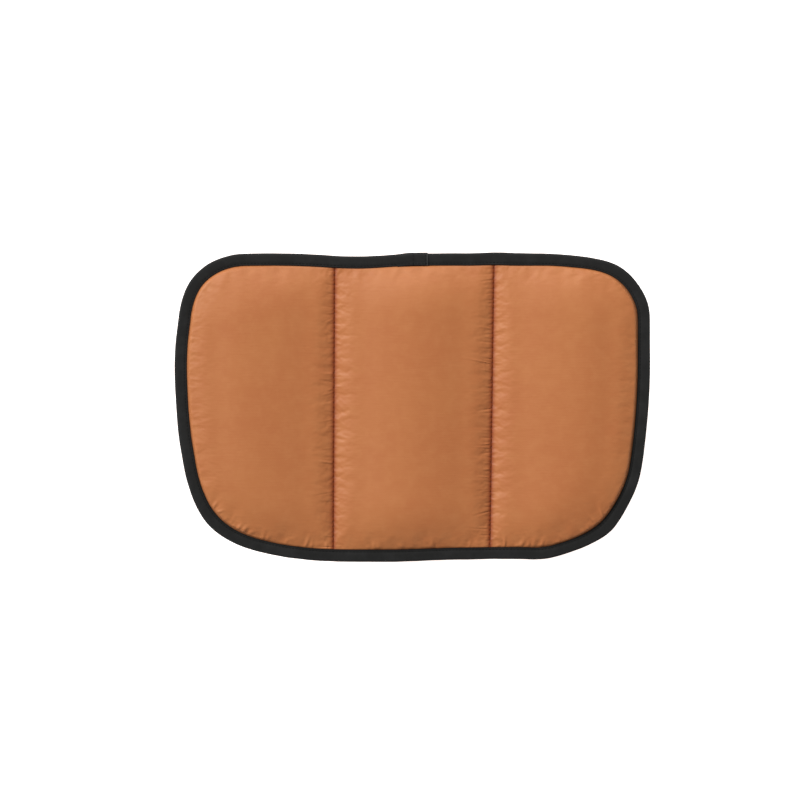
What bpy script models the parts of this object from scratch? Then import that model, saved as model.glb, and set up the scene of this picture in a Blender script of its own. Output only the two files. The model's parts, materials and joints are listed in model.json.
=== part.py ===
"""Pet cushion bed: a flat pad of three stuffed channels between two cloth covers, bound in black tape.

The pad lies on its underside. +X runs across the channels, +Y points to the rear edge, +Z is up, and the
origin is on the floor under the middle. Two sewn seams run along Y, and each outer panel folds about the
seam that joins it to the centre panel, so its pieces hang from an empty on that seam.
"""

import math

import bpy

# Overall size, in metres
WIDTH = 0.450
DEPTH = 0.292
SEAM_X = 0.075  # from the middle to each sewn seam
SEAM_HEIGHT = 0.0065  # the seams and the bound edge above the floor
CROWN = 0.012  # rise of the top cover from its edge to the middle of a channel

# Outline: a long edge at the rear and the front, a bowed side, and a corner arc at each end of it
REAR_CORNER_RADIUS = 0.065
FRONT_CORNER_RADIUS = 0.108
SIDE_RADIUS = 0.663
WIDEST_Y = 0.045  # where the sides bow out furthest

# Cloth, wadding and tape
COVER_THICKNESS = 0.0004
WADDING_EDGE = 0.0006  # the wadding, pressed flat inside the bound edge
TAPE_THICKNESS = 0.0005
TAPE_COVER = 0.0115  # how far the folded tape reaches over the pad, on both faces
LAP_START_X = -0.0140  # the tape's end laps over its start on the rear edge
LAP_END_X = 0.0145
LAP_CLIMB = 0.0018  # along the edge, where the thread climbs onto the lap
SEAM_THREAD_RADIUS = 0.0003
EDGE_THREAD_RADIUS = 0.0003
EDGE_STITCH_MARGIN = 0.002  # from the tape's inner edge to the stitches that hold it
GAP = 0.0003  # between pieces that touch
SEAM_PINCH_GAP = 0.00015  # from the seam's plane to each cover where the seam pulls them together

# Shape of a channel
SEAM_RISE = 0.075  # distance from a seam to the crown, where the channel is wide enough
EDGE_RISE = 0.065  # distance from the tape to the crown
PINCH_LENGTH = 0.006  # the covers part to their full gap this far from a seam
FLATTENING = 1.6  # how much wider than the crown the part of the underside on the floor is

# Folding
FOLD_LIMIT = 115.0  # degrees, up and down
FOLD_MARGIN = 0.00015  # extra room where two panels meet

# Mesh
ALONG_STEPS = 16  # cells along a channel
ACROSS_STEPS = 8  # cells across a channel
REAR_STEPS = (4, 4)  # along the rear edge and half its corner, ACROSS_STEPS in all
FRONT_STEPS = (4, 4)
SIDE_STEPS = ALONG_STEPS - REAR_STEPS[1] - FRONT_STEPS[1]

# Colours, as sRGB
TERRACOTTA = "#BE7A50"
SEAM_THREAD_COLOUR = "#8A4526"
BLACK_TAPE = "#232424"
BLACK_THREAD = "#1B1C1C"
WHITE_WADDING = "#E9E6DF"

EDGE_HALF_GAP = WADDING_EDGE / 2 + GAP  # from the seam's plane to a cover's inner face
TAPE_INNER_Z = EDGE_HALF_GAP + COVER_THICKNESS + GAP
TAPE_OUTER_Z = TAPE_INNER_Z + TAPE_THICKNESS
COVER_INSET = TAPE_THICKNESS + GAP  # from the outline to the covers' cut edge
EDGE_STITCH_INSET = TAPE_COVER - EDGE_STITCH_MARGIN
UNDERSIDE_DROP = SEAM_HEIGHT - EDGE_HALF_GAP - COVER_THICKNESS


def fold_room(height):
    """How far from a fold's axis something this high must end, so that the two panels clear when folded."""
    return height / math.tan(math.radians(90.0 - FOLD_LIMIT / 2)) + FOLD_MARGIN


COVER_ROOM = fold_room(SEAM_PINCH_GAP + COVER_THICKNESS)
CENTRE_RISE = min(SEAM_RISE, SEAM_X - COVER_ROOM)

REAR, FRONT = 1, -1  # which long edge: its side of the middle


# Outline of the right-hand half


def side_centre():
    return WIDTH / 2 - SIDE_RADIUS, WIDEST_Y


def corner_centre(radius, end):
    """Centre of the corner arc that runs smoothly into both a long edge and the side."""
    x, y = side_centre()
    own_y = end * (DEPTH / 2 - radius)
    reach = SIDE_RADIUS - radius
    return x + math.sqrt(reach * reach - (own_y - y) ** 2), own_y


def meeting_angle(centre):
    """Direction of the point where a corner arc runs into the side, seen from either arc's centre."""
    x, y = side_centre()
    return math.atan2(centre[1] - y, centre[0] - x)


def even(start, end, steps):
    return [start + (end - start) * k / steps for k in range(steps + 1)]


def line_points(first_x, last_x, inset, end, steps=1):
    """Points along a long edge, at this inset from the outline."""
    return [(x, end * (DEPTH / 2 - inset)) for x in even(first_x, last_x, steps)]


def arc_points(centre, radius, first, last, steps):
    turns = even(first, last, steps)
    return [(centre[0] + radius * math.cos(a), centre[1] + radius * math.sin(a)) for a in turns]


def panel_edges(inset, start_x):
    """The rear, outer and front edges of an outer panel at this inset, each as points. They meet halfway
    round the corners, and the rear and front edges start at start_x."""
    rear, front = corner_centre(REAR_CORNER_RADIUS, REAR), corner_centre(FRONT_CORNER_RADIUS, FRONT)
    rear_turn, front_turn = meeting_angle(rear), meeting_angle(front)
    rear_half = (math.pi / 2 + rear_turn) / 2
    front_half = (-math.pi / 2 + front_turn) / 2
    rear_radius, front_radius = REAR_CORNER_RADIUS - inset, FRONT_CORNER_RADIUS - inset
    rear_edge = line_points(start_x, rear[0], inset, REAR, REAR_STEPS[0])
    rear_edge += arc_points(rear, rear_radius, math.pi / 2, rear_half, REAR_STEPS[1])[1:]
    outer_edge = arc_points(rear, rear_radius, rear_half, rear_turn, REAR_STEPS[1])
    outer_edge += arc_points(side_centre(), SIDE_RADIUS - inset, rear_turn, front_turn, SIDE_STEPS)[1:]
    outer_edge += arc_points(front, front_radius, front_turn, front_half, FRONT_STEPS[1])[1:]
    front_edge = line_points(start_x, front[0], inset, FRONT, FRONT_STEPS[0])
    front_edge += arc_points(front, front_radius, -math.pi / 2, front_half, FRONT_STEPS[1])[1:]
    return rear_edge, outer_edge, front_edge


def edge_path(inset, start_x):
    """The bound edge of an outer panel as one line of points, from the seam round to the seam."""
    rear, outer, front = panel_edges(inset, start_x)
    return rear + outer[1:] + front[::-1][1:]


def inset_of(x, y):
    """Distance of a point from the outline, inside it."""
    x = abs(x)
    side = side_centre()
    found = [DEPTH / 2 - abs(y), SIDE_RADIUS - math.hypot(x - side[0], y - side[1])]
    for radius, end in ((REAR_CORNER_RADIUS, REAR), (FRONT_CORNER_RADIUS, FRONT)):
        centre = corner_centre(radius, end)
        turn = math.atan2(y - centre[1], x - centre[0])
        if end * meeting_angle(centre) <= end * turn <= math.pi / 2:
            found.append(radius - math.hypot(x - centre[0], y - centre[1]))
    return min(found)


# Sheets: the plan of a panel as points and faces


def coons(rear, outer, front, inner):
    """A grid of points that fills the shape between four edges. Rows run from rear to front."""
    across, along = len(rear) - 1, len(outer) - 1
    rows = []
    for j in range(along + 1):
        v = j / along
        row = []
        for i in range(across + 1):
            u = i / across
            row.append(tuple(
                (1 - v) * rear[i][k] + v * front[i][k] + (1 - u) * inner[j][k] + u * outer[j][k]
                - (1 - u) * ((1 - v) * rear[0][k] + v * front[0][k])
                - u * ((1 - v) * rear[-1][k] + v * front[-1][k])
                for k in range(2)
            ))
        rows.append(row)
    return rows


def halves(corners):
    """The two triangles of a cell. Every sheet is cut the same way, so stacked pieces stay clear."""
    a, b, c, d = corners
    return [(a, b, c), (a, c, d)]


def grid_faces(along, across):
    """Triangles of a grid of along rows, with across points in each."""
    starts = [j * across + i for j in range(along - 1) for i in range(across - 1)]
    return [t for k in starts for t in halves((k, k + across, k + across + 1, k + 1))]


def sheet_from(rows, rim):
    """Points and faces of a grid with a flange round it. rim holds the flange's outer points, which follow
    the grid's boundary from the first row's start, round the far side, to the last row's start."""
    along, across = len(rows), len(rows[0])
    points = [p for row in rows for p in row] + rim
    border = list(range(across)) + [(j + 1) * across - 1 for j in range(1, along)]
    border += [(along - 1) * across + i for i in range(across - 2, -1, -1)]
    first = along * across
    faces = grid_faces(along, across)
    for k in range(len(rim) - 1):
        faces += halves((border[k], border[k + 1], first + k + 1, first + k))
    return points, faces


def outer_sheet(start, rim_inset):
    """Plan of an outer panel, from x = start to its flange's edge, rim_inset inside the outline."""
    pinch_x = SEAM_X + COVER_ROOM + PINCH_LENGTH
    rear, outer, front = panel_edges(TAPE_COVER, pinch_x)
    inner = [(pinch_x, y) for y in even(rear[0][1], front[0][1], ALONG_STEPS)]
    rows = coons(rear, outer, front, inner)
    rim = edge_path(rim_inset, pinch_x)
    if start < pinch_x:
        rows = [[(start, row[0][1])] + row for row in rows]
        rim = [(start, rim[0][1])] + rim + [(start, rim[-1][1])]
    return sheet_from(rows, rim)


def centre_sheet(start, rim_inset):
    """Plan of the centre panel, from x = -start to x = start, with a flange at the rear and the front."""
    pinch_x = SEAM_X - COVER_ROOM - PINCH_LENGTH
    columns = even(-pinch_x, pinch_x, ACROSS_STEPS)
    if start > pinch_x:
        columns = [-start] + columns + [start]
    inner_y, rim_y = DEPTH / 2 - TAPE_COVER, DEPTH / 2 - rim_inset
    lines = [rim_y] + even(inner_y, -inner_y, ALONG_STEPS) + [-rim_y]
    return [(x, y) for y in lines for x in columns], grid_faces(len(lines), len(columns))


# Heights of the faces, above or below the plane of the seams


def ramp(share):
    return 1.0 - (1.0 - min(max(share, 0.0), 1.0)) ** 2


def bulge(x, y):
    """0 where the covers are held, at a seam or under the tape, and 1 on a channel's crown."""
    from_seam = abs(abs(x) - SEAM_X) - COVER_ROOM
    rise = CENTRE_RISE if abs(x) < SEAM_X else SEAM_RISE
    return ramp(from_seam / rise) * ramp((inset_of(x, y) - TAPE_COVER) / EDGE_RISE)


def half_gap(x):
    """From the plane of the seams to a cover's inner face, before any bulge."""
    share = min((abs(abs(x) - SEAM_X) - COVER_ROOM) / PINCH_LENGTH, 1.0)
    return SEAM_PINCH_GAP + (EDGE_HALF_GAP - SEAM_PINCH_GAP) * share


def top_inside(x, y):
    return half_gap(x) + CROWN * bulge(x, y)


def top_outside(x, y):
    return top_inside(x, y) + COVER_THICKNESS


def underside_inside(x, y):
    return -half_gap(x) - UNDERSIDE_DROP * min(FLATTENING * bulge(x, y), 1.0)


def underside_outside(x, y):
    return underside_inside(x, y) - COVER_THICKNESS


def wadding_top(x, y):
    return top_inside(x, y) - GAP


def wadding_underside(x, y):
    return underside_inside(x, y) + GAP


# Solids


def colour(text):
    """Linear RGBA of an sRGB hex colour."""
    channels = [int(text[k:k + 2], 16) / 255 for k in (1, 3, 5)]
    linear = [c / 12.92 if c <= 0.04045 else ((c + 0.055) / 1.055) ** 2.4 for c in channels]
    return (*linear, 1.0)


def material(name, base, roughness):
    """A cloth or thread finish: this sRGB colour, never metallic."""
    made = bpy.data.materials.new(name)
    made.use_nodes = True
    shader = made.node_tree.nodes["Principled BSDF"]
    shader.inputs["Base Color"].default_value = colour(base)
    shader.inputs["Roughness"].default_value = roughness
    shader.inputs["Metallic"].default_value = 0.0
    return made


def add_mesh(name, points, faces, parent, finish, smooth=True):
    """Adds a closed mesh whose points are in the frame of its parent empty."""
    mesh = bpy.data.meshes.new(name)
    mesh.from_pydata(points, [], faces)
    mesh.validate()
    if smooth:
        mesh.shade_smooth()
        mesh.set_sharp_from_angle(angle=math.radians(35))
    mesh.materials.append(finish)
    made = bpy.data.objects.new(name, mesh)
    made.parent = parent
    bpy.context.scene.collection.objects.link(made)
    return made


def boundary_of(faces):
    """The directed edges that belong to only one face."""
    edges = {(f[k], f[(k + 1) % len(f)]) for f in faces for k in range(len(f))}
    return [(a, b) for a, b in edges if (b, a) not in edges]


def solid_between(name, sheet, upper, lower, parent, finish, side=1):
    """A closed solid over a sheet, from the height lower(x, y) to upper(x, y). side -1 mirrors it in X."""
    plan, faces = sheet
    count = len(plan)
    x0, y0, _ = parent.location
    points = [(side * x - x0, y - y0, height(x, y)) for height in (upper, lower) for x, y in plan]
    shell = list(faces) + [tuple(count + v for v in reversed(f)) for f in faces]
    shell += [(b, a, count + a, count + b) for a, b in boundary_of(faces)]
    if side < 0:
        shell = [tuple(reversed(f)) for f in shell]
    return add_mesh(name, points, shell, parent, finish)


def tape_profile(inner_z, web_inset):
    """The folded tape's section, as (inset, height) points: a web round the edge and a lip on each face."""
    outer_z = inner_z + TAPE_THICKNESS
    outer_inset, lip = web_inset - TAPE_THICKNESS, TAPE_COVER
    return [
        (lip, inner_z), (lip, outer_z), (outer_inset, outer_z), (outer_inset, -outer_z),
        (lip, -outer_z), (lip, -inner_z), (web_inset, -inner_z), (web_inset, inner_z),
    ]


def sweep(name, profile, path_at, parent, finish, side=1):
    """Sweeps a section along the edge. path_at(inset) gives the path's points at that inset."""
    paths = [(path_at(inset), z) for inset, z in profile]
    x0, y0, _ = parent.location
    stations, ring = len(paths[0][0]), len(profile)
    points = [(side * p[s][0] - x0, p[s][1] - y0, z) for s in range(stations) for p, z in paths]
    faces = [
        (s * ring + k, s * ring + (k + 1) % ring, (s + 1) * ring + (k + 1) % ring, (s + 1) * ring + k)
        for s in range(stations - 1) for k in range(ring)
    ]
    faces += [tuple(reversed(range(ring))), tuple((stations - 1) * ring + k for k in range(ring))]
    if side < 0:
        faces = [tuple(reversed(f)) for f in faces]
    return add_mesh(name, points, faces, parent, finish, smooth=False)


def strand(name, points, radius, parent, finish):
    """A run of sewing thread as a thin round bar through these points, in the parent's frame."""
    curve = bpy.data.curves.new(name, "CURVE")
    curve.dimensions = "3D"
    curve.bevel_depth = radius
    curve.bevel_resolution = 1
    curve.use_fill_caps = True
    spline = curve.splines.new("POLY")
    spline.points.add(len(points) - 1)
    for spot, place in zip(spline.points, points):
        spot.co = (*place, 1.0)
    curve.materials.append(finish)
    made = bpy.data.objects.new(name, curve)
    made.parent = parent
    bpy.context.scene.collection.objects.link(made)
    return made


def axis_empty(name, x):
    made = bpy.data.objects.new(name, None)
    made.location = (x, 0.0, SEAM_HEIGHT)
    bpy.context.scene.collection.objects.link(made)
    return made


# Pieces

FACES = (("top", 1), ("bottom", -1))


def add_panel(place, parent, sheet_of, start, wadding_start, finishes, side=1):
    """The two covers and the wadding of one channel."""
    cover_sheet = sheet_of(start, COVER_INSET)
    solid_between(f"top_cover_{place}", cover_sheet, top_outside, top_inside, parent, finishes["cover"], side)
    solid_between(f"bottom_cover_{place}", cover_sheet, underside_inside, underside_outside, parent,
                  finishes["cover"], side)
    wadding_sheet = sheet_of(wadding_start, COVER_INSET + GAP)
    solid_between(f"wadding_{place}", wadding_sheet, wadding_top, wadding_underside, parent,
                  finishes["wadding"], side)


def add_outer_edge(place, parent, finishes, side):
    """The tape round an outer panel, and the thread that holds it on each face."""
    start = SEAM_X + fold_room(TAPE_OUTER_Z)
    sweep(f"binding_{place}", tape_profile(TAPE_INNER_Z, TAPE_THICKNESS),
          lambda inset: edge_path(inset, start)[::-1], parent, finishes["tape"], side)
    height = TAPE_OUTER_Z + GAP + EDGE_THREAD_RADIUS
    line = edge_path(EDGE_STITCH_INSET, SEAM_X + fold_room(height + EDGE_THREAD_RADIUS))
    for face, sign in FACES:
        points = [(side * x - parent.location.x, y, sign * height) for x, y in line]
        strand(f"edge_thread_{face}_{place}", points, EDGE_THREAD_RADIUS, parent, finishes["edge_thread"])


def add_centre_edge(place, parent, finishes, end):
    """The straight tape on the centre panel's rear or front edge, and its thread."""
    reach = end * (SEAM_X - fold_room(TAPE_OUTER_Z))
    sweep(f"binding_{place}", tape_profile(TAPE_INNER_Z, TAPE_THICKNESS),
          lambda inset: line_points(reach, -reach, inset, end), parent, finishes["tape"])
    height = TAPE_OUTER_Z + GAP + EDGE_THREAD_RADIUS
    reach = SEAM_X - fold_room(height + EDGE_THREAD_RADIUS)
    y = end * (DEPTH / 2 - EDGE_STITCH_INSET)
    steps = [(-reach, height), (reach, height)]
    if end == REAR:
        steps[1:1] = lap_hump(height)
    for face, sign in FACES:
        points = [(x, y, sign * z) for x, z in steps]
        strand(f"edge_thread_{face}_{place}", points, EDGE_THREAD_RADIUS, parent, finishes["edge_thread"])


def lap_hump(height):
    """Where the thread climbs over the tape's lap, as (x, height) points."""
    over = height + GAP + TAPE_THICKNESS
    first, last = LAP_START_X - EDGE_THREAD_RADIUS - GAP, LAP_END_X + EDGE_THREAD_RADIUS + GAP
    return [(first - LAP_CLIMB, height), (first, over), (last, over), (last + LAP_CLIMB, height)]


def add_lap(parent, finishes):
    """The tape's end, lapped over its start. It stands proud of the outline by the layer under it."""
    sweep("binding_lap", tape_profile(TAPE_OUTER_Z + GAP, -GAP),
          lambda inset: line_points(LAP_END_X, LAP_START_X, inset, REAR), parent, finishes["tape"])


def add_seam_threads(parent, finishes):
    """The lockstitch of each seam: the needle's thread above the covers' pinch, and the bobbin's below."""
    reach = DEPTH / 2 - TAPE_COVER
    height = SEAM_PINCH_GAP + SEAM_THREAD_RADIUS
    for place, x in (("left", -SEAM_X), ("right", SEAM_X)):
        for face, sign in FACES:
            points = [(x, -reach, sign * height), (x, reach, sign * height)]
            strand(f"seam_thread_{face}_{place}", points, SEAM_THREAD_RADIUS, parent, finishes["seam_thread"])


def build():
    for old in list(bpy.data.objects):
        bpy.data.objects.remove(old)
    finishes = {
        "cover": material("terracotta_cloth", TERRACOTTA, roughness=0.75),
        "wadding": material("polyester_wadding", WHITE_WADDING, roughness=0.95),
        "tape": material("black_binding_tape", BLACK_TAPE, roughness=0.85),
        "seam_thread": material("terracotta_thread", SEAM_THREAD_COLOUR, roughness=0.6),
        "edge_thread": material("black_thread", BLACK_THREAD, roughness=0.6),
    }
    middle = axis_empty("centre_panel", 0.0)
    start = SEAM_X - COVER_ROOM
    add_panel("centre", middle, centre_sheet, start, start - PINCH_LENGTH, finishes)
    add_centre_edge("rear", middle, finishes, REAR)
    add_centre_edge("front", middle, finishes, FRONT)
    add_lap(middle, finishes)
    add_seam_threads(middle, finishes)
    for place, side in (("left", -1), ("right", 1)):
        fold = axis_empty(f"{place}_fold_axis", side * SEAM_X)
        start = SEAM_X + COVER_ROOM
        add_panel(place, fold, outer_sheet, start, start + PINCH_LENGTH, finishes, side)
        add_outer_edge(place, fold, finishes, side)


build()
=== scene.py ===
"""Pet cushion bed: three stuffed channels of terracotta cloth, quilted by two sewn seams and bound in folded
black tape. The pad lies on its underside, +Y is its rear edge, and each outer panel folds along its seam."""

import json
import math

import bmesh
import bpy
import numpy as np
from bpy.props import FloatProperty, FloatVectorProperty, IntProperty, PointerProperty
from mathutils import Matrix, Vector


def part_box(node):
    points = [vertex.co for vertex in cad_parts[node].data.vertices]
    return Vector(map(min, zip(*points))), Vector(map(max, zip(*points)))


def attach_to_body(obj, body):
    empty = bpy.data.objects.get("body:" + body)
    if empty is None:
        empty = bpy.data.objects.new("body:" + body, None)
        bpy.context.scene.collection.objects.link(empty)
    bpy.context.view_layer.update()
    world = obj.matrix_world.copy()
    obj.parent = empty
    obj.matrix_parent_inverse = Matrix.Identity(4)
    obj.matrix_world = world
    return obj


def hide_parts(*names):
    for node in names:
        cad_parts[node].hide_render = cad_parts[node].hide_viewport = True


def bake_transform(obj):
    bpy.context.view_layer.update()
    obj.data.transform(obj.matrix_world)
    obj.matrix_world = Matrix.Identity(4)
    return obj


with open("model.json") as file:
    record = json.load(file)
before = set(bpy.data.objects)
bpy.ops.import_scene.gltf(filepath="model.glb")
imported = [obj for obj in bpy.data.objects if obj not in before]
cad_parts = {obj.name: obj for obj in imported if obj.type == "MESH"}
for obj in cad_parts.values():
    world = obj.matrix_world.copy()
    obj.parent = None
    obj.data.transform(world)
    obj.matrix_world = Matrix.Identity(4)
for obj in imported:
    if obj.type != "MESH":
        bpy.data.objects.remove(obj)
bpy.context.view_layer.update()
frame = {"record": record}

bl_info = {
    "name": "Quilted pet cushion pad",
    "version": (1, 0, 0),
    "blender": (4, 5, 0),
    "location": "3D View > Sidebar > Cushion",
    "description": "Makes a quilted pet cushion pad with a bound edge",
    "category": "Add Mesh",
}

# Places taken from the frame, in metres
RIGHT_FOLD = next(j for j in frame["record"]["behaviour"]["joints"] if j["name"] == "right_fold")
SEAM_X, _, SEAM_Z = RIGHT_FOLD["pos_m"]
TAPE_LOW, TAPE_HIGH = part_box("binding_rear")
LAP_LOW, LAP_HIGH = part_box("binding_lap")
HALF_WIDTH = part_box("binding_right")[1].x
HALF_DEPTH = TAPE_HIGH.y
TAPE_COVER = TAPE_HIGH.y - TAPE_LOW.y  # tape seen on each face
TAPE_HALF = TAPE_HIGH.z - SEAM_Z  # half the bound edge's thickness
LAP_HALF = LAP_HIGH.z - SEAM_Z  # the same at the lap
CROWN_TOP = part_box("top_cover_centre")[1].z - SEAM_Z

# The outline's arcs, in metres
REAR_RADIUS = 0.065
FRONT_RADIUS = 0.108
SIDE_RADIUS = 0.663
WIDEST_Y = 0.045

# How far the sewn edge wanders from the drawn outline, in mm: where, by how much, and how widely
EDGE_WANDER = (
    (-54, 146, 0.0, -3.1, 38),
    (75, 146, 0.0, 0.9, 14),
    (-178, 142, 0.0, -0.8, 24),
    (170, 144, 0.0, -3.4, 25),
    (218, 92, 1.3, 0.6, 22),
    (-219, 92, 2.8, -0.4, 28),
    (-213, -58, 1.2, 0.0, 22),
    (-196, -112, -1.4, -1.7, 26),
    (-132, -141, 0.9, 4.4, 36),
    (35, -146, 0.0, 1.4, 35),
    (95, -146, 0.0, 2.6, 45),
    (148, -140, 0.0, 1.2, 18),
    (190, -118, 1.4, -2.2, 20),
)
# How far each seam wanders along X at the rear and at the front, in mm
SEAM_WANDER = {-1: (1.6, 0.1), 1: (2.3, -1.8)}
SEAM_WANDER_SPREAD = 0.032  # how far on each side of a seam the cloth wanders with it

PLACES = (("left", -1), ("centre", 0), ("right", 1))
LAP_CLIMB = 0.011  # length over which the tape climbs onto its own start


def linear(text):
    """Linear RGBA of an sRGB hex colour."""
    channels = [int(text[k:k + 2], 16) / 255 for k in (1, 3, 5)]
    return (*[c / 12.92 if c <= 0.04045 else ((c + 0.055) / 1.055) ** 2.4 for c in channels], 1.0)


def number(name, default, description, **limits):
    return FloatProperty(name=name, description=description, default=default, **limits)


def length(name, default, description):
    return number(name, default, description, unit="LENGTH", precision=5)


def hue(name, default, description):
    return FloatVectorProperty(name=name, description=description, default=linear(default), size=4,
                               subtype="COLOR", min=0, max=1)


class ChannelSettings(bpy.types.PropertyGroup):
    crown: length("Crown", CROWN_TOP - 0.0017, "Rise of the stuffed channel above its bound edge")
    rise: length("Rise", 0.075, "From a seam to the centre channel's crown")
    wing_rise: length("Wing Rise", 0.12, "From a seam to an outer channel's crown")
    edge_rise: length("Edge Rise", 0.052, "From the tape to the crown")
    side_rise: length("Side Rise", 0.078, "From the tape to the crown, at the pad's two sides")
    side_roll: number("Side Roll", 0.30, "Share of the crown that bulges up right beside the tape there",
                      min=0, max=1, subtype="FACTOR")
    underside: length("Underside Drop", SEAM_Z, "From the seams down to the floor")
    edge_gap: length("Edge Gap", 0.00095, "From the seam's plane to the cloth, under the tape")
    groove: length("Groove", 0.0016, "Half the width of the valley that a seam pulls in the cloth")
    pucker_reach: length("Pucker Reach", 0.011, "How far the gathered cloth reaches from a seam")
    wrinkle_height: length("Wrinkle Height", 0.00042, "Height of the creases that a stitch pulls")
    fullness: number("Fullness", 1.8, "How steeply the centre channel rises from a seam", min=1, max=4)
    wing_fullness: number("Wing Fullness", 2.8, "How steeply an outer channel rises from a seam", min=1, max=4)
    oversize: number("Oversize", 0.017, "Extra cloth that the seams gather", min=0, max=0.2, subtype="FACTOR")
    tape_gather: number("Tape Gather", 0.45, "How much of that cloth the tape gathers",
                        min=0, max=1, subtype="FACTOR")
    pressure: number("Pressure", 2.0, "Push of the wadding on the cloth", min=0, max=20)
    frames: IntProperty(name="Frames", default=13, min=1, max=60, subtype="TIME",
                        description="Steps in which the cloth settles")
    cloth: hue("Cloth", "#BB7443", "Terracotta cotton")
    cloth_warm: hue("Warm Cloth", "#B4693C", "Terracotta where the dye took deeper")
    cloth_pale: hue("Pale Cloth", "#C4804E", "Terracotta on a crease's worn crest")
    # Painted shade: the colour that stands in for the shade down in a seam's valley
    cloth_painted_groove_shade: hue("Groove Cloth", "#822A02", "The cloth down in a seam's groove")
    # Painted shadow: the colour that stands in for the shade beside the tape and in needle holes
    cloth_tuck: hue("Tucked Cloth", "#241006", "The cloth where it turns under the tape")


class BindingSettings(bpy.types.PropertyGroup):
    thickness: length("Tape Thickness", 0.0005, "Thickness of the woven tape")
    fold: length("Fold Depth", 0.0021, "How far in the tape's fold stays round")
    dip: length("Stitch Dip", 0.00028, "How far the stitches pull the tape down")
    stitch_inset: length("Stitch Inset", TAPE_COVER - 0.002, "From the edge to the stitches")
    wander: length("Wander", 0.00045, "How far the hand-fed tape wanders")
    wander_length: length("Wander Length", 0.022, "Distance over which it wanders")
    tape: hue("Tape", "#1C1C1B", "Black polyester binding tape")
    # The paler tape colour is also the painted highlight along the round fold
    tape_worn_and_highlight: hue("Worn Tape", "#2D2D2D", "Tape rubbed paler")
    # Painted shade: the colour that stands in for the shade along the tape's sewn-down inner edge
    tape_tuck: hue("Tape Edge", "#0D0A08", "The tape's edge, where it is sewn down")
    tape_cut: hue("Cut Tape", "#4C4C4B", "The frayed threads of the tape's cut end")


class StitchSettings(bpy.types.PropertyGroup):
    pitch: length("Stitch Pitch", 0.0047, "From one needle hole to the next")
    gap: length("Stitch Gap", 0.0006, "Between one stitch and the next")
    seam_radius: length("Seam Thread Radius", 0.00042, "Half the seam thread's thickness")
    edge_radius: length("Edge Thread Radius", 0.0003, "Half the edge thread's thickness")
    edge_pitch: length("Edge Stitch Pitch", 0.0032, "From one hole to the next along the tape")
    seam_thread: hue("Seam Thread", "#8C3E16", "Rust brown spun thread")
    edge_thread: hue("Edge Thread", "#1A1A1A", "Black spun thread")


class StageSettings(bpy.types.PropertyGroup):
    lens: number("Lens", 200, "Focal length of the camera", min=20, max=400, unit="CAMERA")
    frame_width: length("Frame Width", 0.7578, "Width of floor that the camera takes in")
    aim_x: length("Aim X", -0.0116, "Where the camera looks, along X")
    aim_y: length("Aim Y", 0.0071, "Where the camera looks, along Y")
    floor: hue("Floor", "#FBFBFA", "White studio floor")
    floor_drop: length("Floor Drop", 0.14, "From the pad down to the lit floor: the wings fold down above it")
    floor_glow: number("Floor Glow", 0.95, "Light from under the translucent studio floor", min=0)
    sun: number("Key Light", 2.75, "Strength of the soft key light", min=0)
    panel: number("Light Panel", 5.2, "Power of the soft light panel beyond the rear edge",
                  min=0, subtype="POWER", unit="POWER")
    sky: number("Fill Light", 0.28, "Strength of the light all round", min=0)


GROUPS = {"channels": ChannelSettings, "binding": BindingSettings, "stitches": StitchSettings,
          "stage": StageSettings}


def settings(name):
    return getattr(bpy.context.scene, f"cushion_{name}")


# Outline


def side_centre():
    return np.array((HALF_WIDTH - SIDE_RADIUS, WIDEST_Y))


def corner_centre(radius, end):
    """Centre of the corner arc that runs smoothly into both a long edge and the side. end is 1 at the rear."""
    x, y = side_centre()
    own_y = end * (HALF_DEPTH - radius)
    return np.array((x + math.sqrt((SIDE_RADIUS - radius) ** 2 - (own_y - y) ** 2), own_y))


def meeting_angle(centre):
    x, y = side_centre()
    return math.atan2(centre[1] - y, centre[0] - x)


def arc(centre, radius, first, last, spacing):
    count = max(2, round(abs(last - first) * radius / spacing)) + 1
    turn = np.linspace(first, last, count)
    outward = np.stack((np.cos(turn), np.sin(turn)), 1)
    return centre + radius * outward, -outward


def straight(first_x, last_x, end, spacing):
    count = max(2, round(abs(last_x - first_x) / spacing)) + 1
    x = np.linspace(first_x, last_x, count)
    return np.stack((x, np.full(count, end * HALF_DEPTH)), 1), np.tile((0.0, -end), (count, 1))


def wing_outline(spacing):
    """The right panel's outline, clockwise from the rear of its seam to the front, and the way inwards."""
    rear, front = corner_centre(REAR_RADIUS, 1), corner_centre(FRONT_RADIUS, -1)
    rear_turn, front_turn = meeting_angle(rear), meeting_angle(front)
    runs = [
        straight(SEAM_X, rear[0], 1, spacing),
        arc(rear, REAR_RADIUS, math.pi / 2, rear_turn, spacing),
        arc(side_centre(), SIDE_RADIUS, rear_turn, front_turn, spacing),
        arc(front, FRONT_RADIUS, front_turn, -math.pi / 2, spacing),
        straight(front[0], SEAM_X, -1, spacing),
    ]
    points = np.concatenate([runs[0][0]] + [run[0][1:] for run in runs[1:]])
    inward = np.concatenate([runs[0][1]] + [run[1][1:] for run in runs[1:]])
    return points, inward


def lengths(points):
    """How far along the line each point is."""
    return np.concatenate(((0.0,), np.cumsum(np.linalg.norm(np.diff(points, axis=0), axis=1))))


def at_lengths(points, places):
    along = lengths(points)
    return np.stack([np.interp(places, along, points[:, k]) for k in range(points.shape[1])], 1)


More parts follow.
